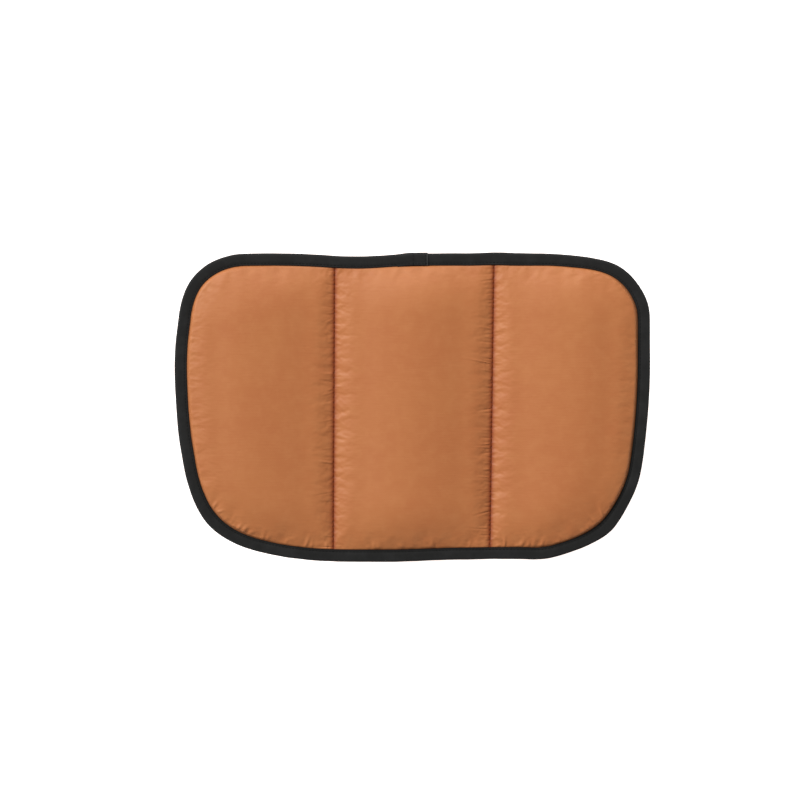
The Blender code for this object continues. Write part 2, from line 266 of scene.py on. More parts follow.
def inset_of(x, y):
    """Distance inside the outline."""
    x = np.abs(x)
    centre = side_centre()
    found = np.minimum(HALF_DEPTH - np.abs(y), SIDE_RADIUS - np.hypot(x - centre[0], y - centre[1]))
    for radius, end in ((REAR_RADIUS, 1), (FRONT_RADIUS, -1)):
        centre = corner_centre(radius, end)
        turn = end * np.arctan2(y - centre[1], x - centre[0])
        inside = (turn >= end * meeting_angle(centre)) & (turn <= math.pi / 2)
        round_corner = radius - np.hypot(x - centre[0], y - centre[1])
        found = np.where(inside, np.minimum(found, round_corner), found)
    return found


def ramp(share, power):
    return 1 - (1 - np.clip(share, 0, 1)) ** power


def smooth(share):
    share = np.clip(share, 0, 1)
    return share * share * (3 - 2 * share)


def fading(distance, width):
    """1 at no distance, and dying away like a bell over this width."""
    return np.exp(-(distance / width) ** 2)


def wander(points):
    """Moves points of the drawn pad to where sewing and handling left them."""
    x, y = points[:, 0].copy(), points[:, 1].copy()
    for at_x, at_y, by_x, by_y, spread in EDGE_WANDER:
        near = np.exp(-((x - at_x / 1000) ** 2 + (y - at_y / 1000) ** 2) / (spread / 1000) ** 2)
        points[:, 0] += by_x / 1000 * near
        points[:, 1] += by_y / 1000 * near
    for side, (rear, front) in SEAM_WANDER.items():
        near = fading(x - side * SEAM_X, SEAM_WANDER_SPREAD)
        points[:, 0] += near * ((rear + front) / 2 + (rear - front) / 2 * y / HALF_DEPTH) / 1000
    return points


# Meshes


def read_points(mesh):
    points = np.empty(len(mesh.vertices) * 3, np.float32)
    mesh.vertices.foreach_get("co", points)
    return points.reshape(-1, 3).astype(np.float64)


def write_points(mesh, points):
    mesh.vertices.foreach_set("co", points.astype(np.float32).ravel())
    mesh.update()


def new_object(name, mesh):
    made = bpy.data.objects.new(name, mesh)
    bpy.context.scene.collection.objects.link(made)
    return made


def mesh_object(name, points, faces=(), edges=()):
    mesh = bpy.data.meshes.new(name)
    mesh.from_pydata([tuple(p) for p in points], edges, faces)
    return new_object(name, mesh)


def settle(obj):
    """Turns what the object's modifiers give into its plain mesh."""
    graph = bpy.context.evaluated_depsgraph_get()
    mesh = bpy.data.meshes.new_from_object(obj.evaluated_get(graph), preserve_all_data_layers=True,
                                           depsgraph=graph)
    old = obj.data
    obj.modifiers.clear()
    obj.data = mesh
    bpy.data.meshes.remove(old)
    return mesh


def close_up(mesh, sharp_from):
    """Merges doubles, turns every face outwards, and shades smooth but for edges sharper than this."""
    work = bmesh.new()
    work.from_mesh(mesh)
    bmesh.ops.remove_doubles(work, verts=work.verts, dist=1e-6)
    bmesh.ops.recalc_face_normals(work, faces=work.faces)
    work.to_mesh(mesh)
    work.free()
    mesh.shade_smooth()
    mesh.set_sharp_from_angle(angle=math.radians(sharp_from))


def mark(mesh, **marks):
    """Stores numbers at the mesh's points, for a finish to read."""
    for name, values in marks.items():
        mesh.attributes.new(name, "FLOAT", "POINT").data.foreach_set("value", values.astype(np.float32))


def attach(piece, place):
    """Rides the centre panel's body; a piece of an outer panel only has its transform baked into its mesh."""
    if place == "centre":
        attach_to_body(piece, "centre_panel")
        return
    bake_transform(piece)


# Node trees


def add_node(tree, kind, inputs=None, **values):
    """Adds a node with its settings and its links. inputs names or numbers each input: a socket or a value."""
    made = tree.nodes.new(kind)
    for name, value in values.items():
        setattr(made, name, value)
    for name, value in (inputs or {}).items():
        if isinstance(value, bpy.types.NodeSocket):
            tree.links.new(value, made.inputs[name])
        else:
            made.inputs[name].default_value = value
    return made


def new_tree(name, sockets):
    """A Geometry Nodes tree with these inputs, as (name, kind), and its group input node."""
    tree = bpy.data.node_groups.new(name, "GeometryNodeTree")
    tree.interface.new_socket("Geometry", in_out="INPUT", socket_type="NodeSocketGeometry")
    for label, kind in sockets:
        tree.interface.new_socket(label, in_out="INPUT", socket_type=f"NodeSocket{kind}")
    tree.interface.new_socket("Geometry", in_out="OUTPUT", socket_type="NodeSocketGeometry")
    return tree, add_node(tree, "NodeGroupInput").outputs


def end_tree(tree, geometry, finish):
    real = add_node(tree, "GeometryNodeRealizeInstances", {0: geometry})
    done = add_node(tree, "GeometryNodeSetMaterial", {0: real.outputs[0], "Material": finish})
    add_node(tree, "NodeGroupOutput", {0: done.outputs[0]})
    return tree


def run_tree(obj, tree, values):
    """Runs the tree on the object and leaves a plain mesh."""
    modifier = obj.modifiers.new(tree.name, "NODES")
    modifier.node_group = tree
    for item in tree.interface.items_tree:
        if item.in_out == "INPUT" and item.name in values:
            modifier[item.identifier] = values[item.name]
    return settle(obj)


def tape_tree():
    """Sweeps a folded tape's section along an edge, lets it wander, and marks the way along and across it."""
    tree, given = new_tree("folded_tape", (("Section", "Object"), ("Finish", "Material"), ("Wander", "Float"),
                                           ("Wander Length", "Float"), ("Seed", "Float")))
    place = add_node(tree, "GeometryNodeSplineParameter").outputs["Length"]
    marked = []
    section = add_node(tree, "GeometryNodeObjectInfo", {"Object": given["Section"]}).outputs["Geometry"]
    for name, source in (("along", given["Geometry"]), ("across", section)):
        line = add_node(tree, "GeometryNodeMeshToCurve", {"Mesh": source}).outputs["Curve"]
        if name == "along":
            line = add_node(tree, "GeometryNodeSetCurveNormal", {"Curve": line}, mode="Z_UP").outputs["Curve"]
        capture = add_node(tree, "GeometryNodeCaptureAttribute")
        capture.capture_items.new("FLOAT", name)
        tree.links.new(line, capture.inputs["Geometry"])
        tree.links.new(place, capture.inputs[name])
        marked.append(capture.outputs)
    swept = add_node(tree, "GeometryNodeCurveToMesh", {
        "Curve": marked[0]["Geometry"], "Profile Curve": marked[1]["Geometry"], "Fill Caps": True})
    size = add_node(tree, "ShaderNodeMath", {0: 1.0, 1: given["Wander Length"]}, operation="DIVIDE")
    noise = add_node(tree, "ShaderNodeTexNoise", {
        "W": given["Seed"], "Scale": size.outputs[0], "Detail": 1.0}, noise_dimensions="4D")
    offset = noise.outputs["Color"]
    for operation, by in (("SUBTRACT", {1: (0.5, 0.5, 0.5)}), ("MULTIPLY", {1: (2.0, 2.0, 0.7)}),
                          ("SCALE", {"Scale": given["Wander"]})):
        offset = add_node(tree, "ShaderNodeVectorMath", {0: offset, **by}, operation=operation).outputs[0]
    moved = add_node(tree, "GeometryNodeSetPosition", {"Geometry": swept.outputs["Mesh"], "Offset": offset})
    both = add_node(tree, "ShaderNodeCombineXYZ", {0: marked[0]["along"], 1: marked[1]["across"]})
    stored = add_node(tree, "GeometryNodeStoreNamedAttribute", {
        "Geometry": moved.outputs[0], "Name": "UVMap", "Value": both.outputs[0]},
        data_type="FLOAT2", domain="CORNER")
    return end_tree(tree, stored.outputs[0], given["Finish"])


def stitch_tree():
    """Lays one stitch at every pitch along each line, end to end."""
    tree, given = new_tree("stitches", (("Pitch", "Float"), ("Gap", "Float"), ("Radius", "Float"),
                                        ("Finish", "Material")))
    line = add_node(tree, "GeometryNodeMeshToCurve", {"Mesh": given["Geometry"]})
    spaced = add_node(tree, "GeometryNodeResampleCurve", {
        "Curve": line.outputs[0], "Length": given["Pitch"]}, mode="LENGTH")
    ball = add_node(tree, "GeometryNodeMeshUVSphere", {"Segments": 8, "Rings": 6, "Radius": 1.0})
    mapped = add_node(tree, "GeometryNodeStoreNamedAttribute", {
        "Geometry": ball.outputs["Mesh"], "Name": "UVMap", "Value": ball.outputs["UV Map"]},
        data_type="FLOAT2", domain="CORNER")
    run = add_node(tree, "ShaderNodeMath", {0: given["Pitch"], 1: given["Gap"]}, operation="SUBTRACT")
    half = add_node(tree, "ShaderNodeMath", {0: run.outputs[0], 1: 0.5}, operation="MULTIPLY")
    size = add_node(tree, "ShaderNodeCombineXYZ", {0: given["Radius"], 1: given["Radius"], 2: half.outputs[0]})
    turn = add_node(tree, "FunctionNodeAlignRotationToVector", {
        "Vector": add_node(tree, "GeometryNodeInputTangent").outputs[0]}, axis="Z")
    laid = add_node(tree, "GeometryNodeInstanceOnPoints", {
        "Points": spaced.outputs[0], "Instance": mapped.outputs[0], "Rotation": turn.outputs[0],
        "Scale": size.outputs[0]})
    return end_tree(tree, laid.outputs[0], given["Finish"])


# Finishes


def new_finish(name, roughness, sheen, specular=0.5):
    """A material, its tree and its shader, with what is the same all over already set."""
    made = bpy.data.materials.new(name)
    made.use_nodes = True
    shader = made.node_tree.nodes["Principled BSDF"]
    for socket, value in (("Roughness", roughness), ("Sheen Weight", sheen), ("Specular IOR Level", specular)):
        shader.inputs[socket].default_value = value
    return made, made.node_tree, shader


def woven(tree, where, warp, weft):
    """Height of a plain weave from 0 to 1. warp and weft are the thread spacings in metres."""
    apart = add_node(tree, "ShaderNodeSeparateXYZ", {0: where}).outputs
    threads = []
    for k, gap in ((0, warp), (1, weft)):
        turns = add_node(tree, "ShaderNodeMath", {0: apart[k], 1: math.pi / gap}, operation="MULTIPLY")
        threads.append(add_node(tree, "ShaderNodeMath", {0: turns.outputs[0]}, operation="SINE").outputs[0])
    over = add_node(tree, "ShaderNodeMath", {0: threads[0], 1: threads[1]}, operation="MULTIPLY")
    return add_node(tree, "ShaderNodeMath", {0: over.outputs[0], 1: 0.5, 2: 0.5},
                    operation="MULTIPLY_ADD").outputs[0]


def layered(tree, base, layers):
    """Lays colours over a base, one by one. A layer is its pattern, the pattern's low and high end, the
    largest share that the colour takes, and the colour."""
    for pattern, low, high, most, colour in layers:
        share = add_node(tree, "ShaderNodeMapRange", {0: pattern, 1: low, 2: high, 4: most})
        base = add_node(tree, "ShaderNodeMix", {0: share.outputs[0], 6: base, 7: colour},
                        data_type="RGBA").outputs[2]
    return base


def raise_relief(tree, shader, reliefs, strength):
    """Bumps the surface by the sum of the patterns, each with its height in metres."""
    total = 0.0
    for pattern, height in reliefs:
        total = add_node(tree, "ShaderNodeMath", {0: pattern, 1: height, 2: total},
                         operation="MULTIPLY_ADD").outputs[0]
    bump = add_node(tree, "ShaderNodeBump", {"Strength": strength, "Distance": 1.0, "Height": total})
    tree.links.new(bump.outputs[0], shader.inputs["Normal"])


def cotton_finish():
    """Fine terracotta cotton, woven, dyed and lightly calendered: a soft satin bloom where it faces the light,
    faint slubs along the weft, uneven dye, painted shade in deep rust where a seam pulls the cloth under and
    in its needle holes, and painted shadow where the cloth turns under the tape."""
    own = settings("channels")
    made, tree, shader = new_finish("terracotta_woven_cotton", roughness=0.5, sheen=0.04, specular=0.32)
    where = add_node(tree, "ShaderNodeTexCoord").outputs["Object"]
    # Dye patches about 55 mm across, mottling of about 10 mm, and slubs 17 mm long and 1.6 mm wide
    dye, mottle, slub = [
        add_node(tree, "ShaderNodeTexNoise", {
            "Vector": add_node(tree, "ShaderNodeMapping", {"Vector": where, "Scale": stretch}).outputs[0],
            "Scale": 1.0, "Detail": detail, "Roughness": 0.6}).outputs[0]
        for stretch, detail in (((18, 18, 18), 3.0), ((95, 95, 95), 5.0), ((60, 620, 60), 2.0))]
    weave = woven(tree, where, 0.0009, 0.0009)  # real threads are 0.3 mm apart, drawn coarse enough to show
    # Marks of painted shade in a seam's valley, and of painted shadow beside the tape and in needle holes
    groove, tuck = [add_node(tree, "ShaderNodeAttribute", attribute_name=name).outputs["Fac"]
                    for name in ("groove", "tuck")]
    base = layered(tree, own.cloth, (
        (dye, 0.35, 0.7, 0.55, own.cloth_warm), (mottle, 0.42, 0.75, 0.42, own.cloth_pale),
        (slub, 0.52, 0.85, 0.3, own.cloth_warm), (weave, 1.0, 0.0, 0.12, own.cloth_warm),
        (groove, 0.0, 1.0, 1.0, own.cloth_painted_groove_shade), (tuck, 0.0, 1.0, 0.95, own.cloth_tuck)))
    tree.links.new(base, shader.inputs["Base Color"])
    raise_relief(tree, shader, ((weave, 0.00004), (slub, 0.00014), (mottle, 0.0001)), 0.6)
    return made


def tape_finish():
    """Matt black polyester twill tape: fine ribs across it, a dusty bloom of lint, a painted highlight along
    the fold, painted shade along its sewn-down inner edge, and frayed grey at its cut end."""
    own = settings("binding")
    made, tree, shader = new_finish("black_twill_tape", roughness=0.85, sheen=0.05, specular=0.15)
    uv = add_node(tree, "ShaderNodeUVMap", uv_map="UVMap").outputs[0]
    rib = woven(tree, uv, 0.0011, 0.0008)  # real ribs are 0.4 mm apart, drawn coarse enough to show
    lint = add_node(tree, "ShaderNodeTexNoise", {
        "Vector": add_node(tree, "ShaderNodeTexCoord").outputs["Object"], "Scale": 60.0, "Detail": 4.0,
        "Roughness": 0.65}).outputs[0]
    # Marks of a painted highlight along the fold, painted shade along the sewn edge, and the frayed cut end
    fold, tuck, cut = [add_node(tree, "ShaderNodeAttribute", attribute_name=name).outputs["Fac"]
                       for name in ("fold", "tuck", "cut")]
    base = layered(tree, own.tape, (
        (lint, 0.42, 0.8, 0.75, own.tape_worn_and_highlight), (rib, 0.0, 1.0, 0.35, own.tape_worn_and_highlight),
        (fold, 0.0, 1.0, 0.5, own.tape_worn_and_highlight), (tuck, 0.0, 1.0, 0.95, own.tape_tuck),
        (cut, 0.0, 1.0, 0.8, own.tape_cut)))
    tree.links.new(base, shader.inputs["Base Color"])
    raise_relief(tree, shader, ((rib, 0.00009),), 0.8)
    return made


def thread_finish(name, base):
    """Spun polyester thread: plies twisted together, so slanted stripes run round each stitch."""
    plies, twists, shaded = 2, 8, 0.55  # plies, turns along a stitch, and the share of light between plies
    made, tree, shader = new_finish(name, roughness=0.7, sheen=0.0, specular=0.12)
    uv = add_node(tree, "ShaderNodeUVMap", uv_map="UVMap").outputs[0]
    apart = add_node(tree, "ShaderNodeSeparateXYZ", {0: uv}).outputs
    around = add_node(tree, "ShaderNodeMath", {0: apart[0], 1: plies * 2 * math.pi}, operation="MULTIPLY")
    turns = add_node(tree, "ShaderNodeMath", {0: apart[1], 1: twists * 2 * math.pi, 2: around.outputs[0]},
                     operation="MULTIPLY_ADD")
    wave = add_node(tree, "ShaderNodeMath", {0: turns.outputs[0]}, operation="SINE")
    dark = tuple(shaded * c for c in base[:3]) + (1.0,)
    plied = layered(tree, dark, ((wave.outputs[0], -1.0, 1.0, 1.0, base),))
    tree.links.new(plied, shader.inputs["Base Color"])
    raise_relief(tree, shader, ((wave.outputs[0], 0.00005),), 0.5)
    return made


# Stuffed channels

ROWS, COLUMNS = 200, 60  # cells along and across a channel, before its one subdivision
PAD_INSET = 0.003  # where the covers end, inside the folded tape
CROWDING = 0.45  # how much closer the columns stand beside seams and tape
SIDES_FROM, SIDES_OVER = 0.12, 0.08  # where along X, and over how far, the sides' own rise takes over
UNDER_TAPE = 0.0015  # how far under the tape the stuffing starts
ROLL_WIDTH = 0.0022  # how far from the tape the bulge beside it is complete
SAG = 1.9  # how far the underside would sag, as a share of the way to the floor
FLOOR_TURN = 0.0005  # how gently the cloth turns onto the floor

# The cloth's settling
STILL = 0.035  # past this distance from seams and tape, only the stuffing shapes the cloth
STILL_FADE = 0.022  # over which the gathers die away before it
HELD_BY_TAPE = 0.001  # cloth nearer to the tape than this doesn't move
NUDGE = 0.00008  # the unevenness that starts the gathers
FURTHEST = 0.002  # the most that a point moves

# Creases, by the way they run from a seam: -1 to the left, 1 to the right
CREASE_STRENGTH = {-1: 1.2, 1: 0.6}
CREASE_WIDTHS = {-1: (0.0006, 0.0010), 1: (0.0005, 0.0008)}
CROWDED_STRENGTH = 1.5  # of the centre channel's creases at the right seam, against the others
LONG_CREASE, LONGEST_CREASE = 2.3, 0.030  # how much longer one crease in eight is, and its limit
CENTRE_CREASES, WING_CREASES = 18, 84  # along each end of the centre panel, and round an outer panel
CREASE_START = 0.0012  # over which a crease rises from its stitch

# How the tape and the seams hold the cloth, and the painted shade and shadow beside them
TAPE_GRIP, TAPE_SLACK = 0.0006, 0.0002  # how far out the tape presses, and the room it leaves
ROLL_SLOPE = 3.0  # how steeply the cloth may rise from under the tape
VALLEY, VALLEY_SHADE = 0.0026, 0.74  # a seam's valley of painted shade: its width and how dark it is
HOLE_WIDTH, HOLE_SHADE = 0.0008, 0.66  # the same for painted shade in a needle hole
TAPE_SHADOW_WIDTH = 0.0005  # of the painted shadow beside the tape


def channel_plan(place):
    """The channel's plan as grids of X and Y, rows from the rear to the front."""
    even = np.linspace(0, 1, COLUMNS + 1)
    across = even - CROWDING * np.sin(2 * math.pi * even) / (2 * math.pi)
    if place == "centre":
        x = SEAM_X * (2 * across - 1)
        y = np.linspace(HALF_DEPTH - PAD_INSET, PAD_INSET - HALF_DEPTH, ROWS + 1)
        return np.meshgrid(x, y)
    points, inward = wing_outline(0.0004)
    line = points + PAD_INSET * inward
    total = lengths(line)[-1]
    rear_run, front_run = [
        centre[0] - SEAM_X + (radius - PAD_INSET) * (math.pi / 2 - end * meeting_angle(centre)) / 2
        for centre, radius, end in ((corner_centre(REAR_RADIUS, 1), REAR_RADIUS, 1),
                                    (corner_centre(FRONT_RADIUS, -1), FRONT_RADIUS, -1))]
    rear = at_lengths(line, rear_run * across)
    outer = at_lengths(line, np.linspace(rear_run, total - front_run, ROWS + 1))
    front = at_lengths(line, total - front_run * across)
    inner = np.stack((np.full(ROWS + 1, SEAM_X), np.linspace(rear[0, 1], front[0, 1], ROWS + 1)), 1)
    u = across[None, :, None]
    v = np.linspace(0, 1, ROWS + 1)[:, None, None]
    grid = ((1 - v) * rear[None] + v * front[None] + (1 - u) * inner[:, None] + u * outer[:, None]
            - (1 - u) * ((1 - v) * rear[0] + v * front[0]) - u * ((1 - v) * rear[-1] + v * front[-1]))
    return grid[..., 0], grid[..., 1]


def flattened(sag):
    """How far down cloth comes that would sag by this, with its soft stop at 1 on the floor."""
    return sag * (1 + sag ** 4) ** -0.25


def channel_heights(x, y):
    """Heights of the two faces of the pad over a point, from the seams' plane, before the cloth settles."""
    own = settings("channels")
    inset = inset_of(x, y)
    from_seam = np.abs(np.abs(x) - SEAM_X)
    gap = own.edge_gap * smooth((inset - PAD_INSET) / 0.004) * (1 - np.exp(-from_seam / own.groove))
    sideways = smooth((np.abs(x) - SIDES_FROM) / SIDES_OVER)
    from_tape = inset - TAPE_COVER + UNDER_TAPE
    in_from_tape = from_tape / (own.edge_rise + (own.side_rise - own.edge_rise) * sideways)
    long_edge = ramp(from_tape / own.edge_rise, 2.5)
    short_edge = (own.side_roll * ramp(from_tape / ROLL_WIDTH, 2.0)
                  + (1 - own.side_roll) * ramp(from_tape / own.side_rise, 2.0))
    from_seams = np.where(np.abs(x) > SEAM_X, ramp(from_seam / own.wing_rise, own.wing_fullness),
                          ramp(from_seam / own.rise, own.fullness))
    swell = from_seams * (long_edge + (short_edge - long_edge) * sideways)
    sag = SAG * ramp(from_seam / own.rise, 2.0) * ramp(in_from_tape, 2.0)
    under = flattened(sag) / flattened(SAG)
    return gap + own.crown * swell, -gap - (own.underside - own.edge_gap) * under


def channel_mesh(place, side):
    """The closed casing of one channel: two cloth faces that meet along one line all round."""
    x, y = channel_plan(place)
    top, under = channel_heights(x, y)
    count = x.size
    index = np.arange(count).reshape(x.shape)
    inner = np.zeros(x.shape, bool)
    inner[1:-1, 1:-1] = True
    top = np.where(inner, top, 0)
    below = index.copy()
    below[inner] = count + np.arange(inner.sum())
    mirror = -1 if side < 0 else 1
    points = np.concatenate((np.stack((mirror * x, y, top), -1).reshape(-1, 3),
                             np.stack((mirror * x, y, under), -1)[inner]))
    quads = []
    for grid, up in ((index, True), (below, False)):
        cells = np.stack((grid[:-1, :-1], grid[1:, :-1], grid[1:, 1:], grid[:-1, 1:]), -1).reshape(-1, 4)
        quads.append(cells if up == (mirror > 0) else cells[:, ::-1])
    made = mesh_object(f"pad_{place}", points, np.concatenate(quads).tolist())
    ring = np.zeros(len(points), bool)
    ring[:count] = ~inner.ravel()
    crease = made.data.attributes.new("crease_edge", "FLOAT", "EDGE")
    ends = np.empty(len(made.data.edges) * 2, np.int32)
    made.data.edges.foreach_get("vertices", ends)
    crease.data.foreach_set("value", ring[ends.reshape(-1, 2)].all(1).astype(np.float32))
    return made, ring


def settle_cloth(piece, ring, seed):
    """Lets cloth that is cut a little too full gather along its seams and its binding."""
    own = settings("channels")
    mesh = piece.data
    start = read_points(mesh)
    from_edge = inset_of(start[:, 0], start[:, 1]) - TAPE_COVER
    from_seam = np.abs(np.abs(start[:, 0]) - SEAM_X)
    near = np.minimum(from_edge, from_seam)
    held = ring | (from_edge < HELD_BY_TAPE) | (near > STILL)
    nudge = np.random.default_rng(seed).normal(0, NUDGE, len(start))
    begun = start.copy()
    begun[:, 2] += np.where(held, 0, nudge)
    write_points(mesh, begun)
    pins = piece.vertex_groups.new(name="held")
    pins.add(np.flatnonzero(held).tolist(), 1.0, "REPLACE")
    full = piece.vertex_groups.new(name="full")
    by_seam, by_tape = (np.exp(-(np.maximum(d, 0) / own.pucker_reach) ** 1.5) for d in (from_seam, from_edge))
    share = 1 - np.maximum(by_seam, own.tape_gather * by_tape)
    for k, weight in enumerate(share):
        full.add([k], weight, "REPLACE")
    cloth = piece.modifiers.new("cloth", "CLOTH")
    values = dict(quality=5, mass=0.3, tension_stiffness=15, compression_stiffness=15, shear_stiffness=5,
                  bending_stiffness=0.05, tension_damping=5, compression_damping=5, shear_damping=5,
                  bending_damping=0.5, air_damping=1, vertex_group_mass="held", vertex_group_shrink="full",
                  shrink_min=-own.oversize, shrink_max=0.0, use_pressure=True,
                  uniform_pressure_force=own.pressure)
    for name, value in values.items():
        setattr(cloth.settings, name, value)
    cloth.settings.effector_weights.gravity = 0
    cloth.collision_settings.use_collision = False
    scene = bpy.context.scene
    for clock in (cloth.point_cache, scene):
        clock.frame_start, clock.frame_end = 1, own.frames + 1
    for step in range(1, own.frames + 1):
        scene.frame_set(step)
    settled = piece.evaluated_get(bpy.context.evaluated_depsgraph_get())
    moved = read_points(settled.to_mesh()) - start
    settled.to_mesh_clear()
    piece.modifiers.clear()
    piece.vertex_groups.clear()
    scene.frame_set(1)
    moved *= smooth((STILL - near) / STILL_FADE)[:, None]
    far = np.linalg.norm(moved, axis=1, keepdims=True)
    moved *= np.minimum(1, FURTHEST / np.maximum(far, 1e-9))
    write_points(mesh, start + moved)


def crease_lines(place, side):
    """Where stitches and the tape pull creases: start, way in, length, width and height of each, in metres."""
    own = settings("channels")
    random = np.random.default_rng({"left": 11, "centre": 23, "right": 37}[place])
    found = []
    inner_y = HALF_DEPTH - TAPE_COVER
    seams = {"left": ((-SEAM_X, -1),), "centre": ((-SEAM_X, 1), (SEAM_X, -1)), "right": ((SEAM_X, 1),)}[place]
    pitch = settings("stitches").pitch
    for seam_x, way in seams:
        strong = CREASE_STRENGTH[way] * (CROWDED_STRENGTH if (way < 0 and place == "centre") else 1.0)
        for y in np.arange(-inner_y + pitch / 2, inner_y, pitch):
            start_y = y + random.normal(0, 0.0007)
            reach = random.gamma(2.0, 0.0027) + 0.0025
            reach *= LONG_CREASE if random.random() < 0.12 else 1
            tilt = random.normal(0, 0.16)
            height = own.wrinkle_height * strong * random.uniform(0.35, 1.25)
            width = random.uniform(*CREASE_WIDTHS[way])
            found.append((seam_x, start_y, way, tilt, min(reach * (0.5 + strong / 2), LONGEST_CREASE), width,
                          height * random.choice((1, -1, -1))))
    if place == "centre":
        for end in (1, -1):
            for _ in range(CENTRE_CREASES):
                found.append((random.uniform(-0.07, 0.07), end * inner_y, random.normal(0, 0.3), -end,
                              random.uniform(0.004, 0.014), random.uniform(0.0012, 0.0022),
                              own.wrinkle_height * random.uniform(0.3, 0.9) * (1 if end > 0 else 2.8)))
    else:
        points, inward = wing_outline(0.001)
        line = points + TAPE_COVER * inward
        for _ in range(WING_CREASES):
            k = random.integers(0, len(line))
            front = line[k, 1] < -0.09 and line[k, 0] < 0.19
            turn = random.normal(0, 0.3)
            way_x = inward[k, 0] * math.cos(turn) - inward[k, 1] * math.sin(turn)
            way_y = inward[k, 0] * math.sin(turn) + inward[k, 1] * math.cos(turn)
            found.append((side * line[k, 0], line[k, 1], side * way_x, way_y,
                          random.uniform(0.004, 0.018 if front else 0.010), random.uniform(0.0011, 0.0022),
                          own.wrinkle_height * random.uniform(0.3, 1.0) * (3.4 if front else 0.8)))
    return found


def pull_creases(points, place, side):
    """Raises the creases on the upper face and the lower one."""
    x, y = points[:, 0], points[:, 1]
    faces = np.sign(points[:, 2])
    lift = np.zeros(len(points))
    for at_x, at_y, way_x, way_y, reach, width, height in crease_lines(place, side):
        size = math.hypot(way_x, way_y)
        way_x, way_y = way_x / size, way_y / size
        k = np.flatnonzero((np.abs(x - at_x) < reach) & (np.abs(y - at_y) < reach))
        forward = (x[k] - at_x) * way_x + (y[k] - at_y) * way_y
        aside = (y[k] - at_y) * way_x - (x[k] - at_x) * way_y
        share = np.clip(forward / reach, 0, 1)
        widen = width * (0.8 + 1.2 * share)
        shape = (1 - (aside / widen) ** 2) * fading(aside, widen)
        along = (1 - np.exp(-np.maximum(forward, 0) / CREASE_START)) * (1 - smooth(share))
        lift[k] += height * shape * along * (forward > 0)
    points[:, 2] += faces * lift
    return points


def add_pad(place, side, finish):
    """One stuffed channel: settled, creased at its stitches, tucked under the tape and laid on the floor."""
    own = settings("channels")
    piece, ring = channel_mesh(place, side)
    settle_cloth(piece, ring, seed=5 + side)
    subdivide = piece.modifiers.new("subdivide", "SUBSURF")
    subdivide.levels = subdivide.render_levels = 1
    mesh = settle(piece)
    points = pull_creases(read_points(mesh), place, side)
    x, y, z = points.T
    from_seam = np.abs(np.abs(x) - SEAM_X)
    hole = 0.5 + 0.5 * np.cos(2 * math.pi * y / settings("stitches").pitch)
    from_tape = np.maximum(inset_of(x, y) - TAPE_COVER, 0)
    # The tape holds the cloth down: the softened least of the cloth's height and the room it has
    room = own.edge_gap + TAPE_SLACK + ROLL_SLOPE * np.maximum(from_tape - TAPE_GRIP, 0)
    z[:] = np.sign(z) * ((np.abs(z) + 1e-6) ** -4.0 + room ** -4.0) ** -0.25
    line_width = 0.0005 + 0.0012 * hole ** 3
    # Painted shade: the seam's valley darkened, with a narrower dark line that widens at each needle hole
    groove = np.maximum(VALLEY_SHADE * fading(from_seam, VALLEY),
                        (0.85 + 0.15 * hole) * fading(from_seam, line_width))
    # Painted shadow beside the tape, and painted shade in each needle hole
    tuck = np.maximum(fading(from_tape, TAPE_SHADOW_WIDTH), HOLE_SHADE * hole ** 3 * fading(from_seam, HOLE_WIDTH))
    above = z + SEAM_Z
    z[:] = (above + np.sqrt(above ** 2 + FLOOR_TURN ** 2)) / 2
    write_points(mesh, wander(points))
    mark(mesh, groove=groove, tuck=tuck)
    close_up(mesh, sharp_from=60)
    mesh.materials.append(finish)
    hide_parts(f"top_cover_{place}", f"bottom_cover_{place}", f"wadding_{place}")
    attach(piece, place)


# Binding

TAPE_SPACING = 0.0015  # between the tape's sections along it
LAP_SPACING = 0.0008  # the same on the lap
DIP_WIDTH = 0.0010  # half the width of the dip along the stitches
TAPE_SWELL = 0.0002  # how far the tape swells between its fold and its stitches
TAPE_EDGE_SHADE_WIDTH, FOLD_HIGHLIGHT_WIDTH, FRAY = 0.0007, 0.0022, 0.0007  # widths of the painted shade along the edge, the painted highlight along the fold, and the frayed end
CLOSE = 0.0001  # from the lap's start to the tape below
LAP_ROWS = (0.0018, 0.0135)  # from the lap's cut end to the stitches across it


def tape_section(thickness, half, cover, fold):
    """A folded tape's section, inset by height: round at the fold, pulled down along the stitches."""
    own = settings("binding")
    insets = np.concatenate((fold * (1 - np.cos(np.linspace(0, math.pi / 2, 6))),
                             np.linspace(fold, cover, 14)[1:]))
    height = half * np.sqrt(np.clip(1 - (1 - np.clip(insets / fold, 0, 1)) ** 2, 0, 1))
    dip = own.dip * fading(insets - own.stitch_inset, DIP_WIDTH)
    swell = TAPE_SWELL * np.sin(math.pi * np.clip(insets / own.stitch_inset, 0, 1))
    upper = np.stack((insets, height - dip + swell), 1)
    lower = upper[1:] * (1, -1)
    outside = np.concatenate((upper[::-1], lower))
    run = np.diff(outside, axis=0)
    across = np.stack((-run[:, 1], run[:, 0]), 1)
    normal = np.zeros_like(outside)
    normal[:-1] += across
    normal[1:] += across
    normal /= np.linalg.norm(normal, axis=1, keepdims=True)
    inside = outside + thickness * normal
    return np.concatenate((outside, inside[::-1]))


def loop_object(name, section):
    count = len(section)
    edges = [(k, (k + 1) % count) for k in range(count)]
    return mesh_object(name, [(*p, 0.0) for p in section], edges=edges)


def line_object(name, lines):
    points, edges = [], []
    for line in lines:
        first = len(points)
        points.extend(tuple(p) for p in line)
        edges.extend((first + k, first + k + 1) for k in range(len(line) - 1))
    return mesh_object(name, points, edges=edges)


def at_height(points, height):
    """Plan points as 3-D points. height is one number, or one for each."""
    return np.column_stack((points, np.broadcast_to(height, len(points))))


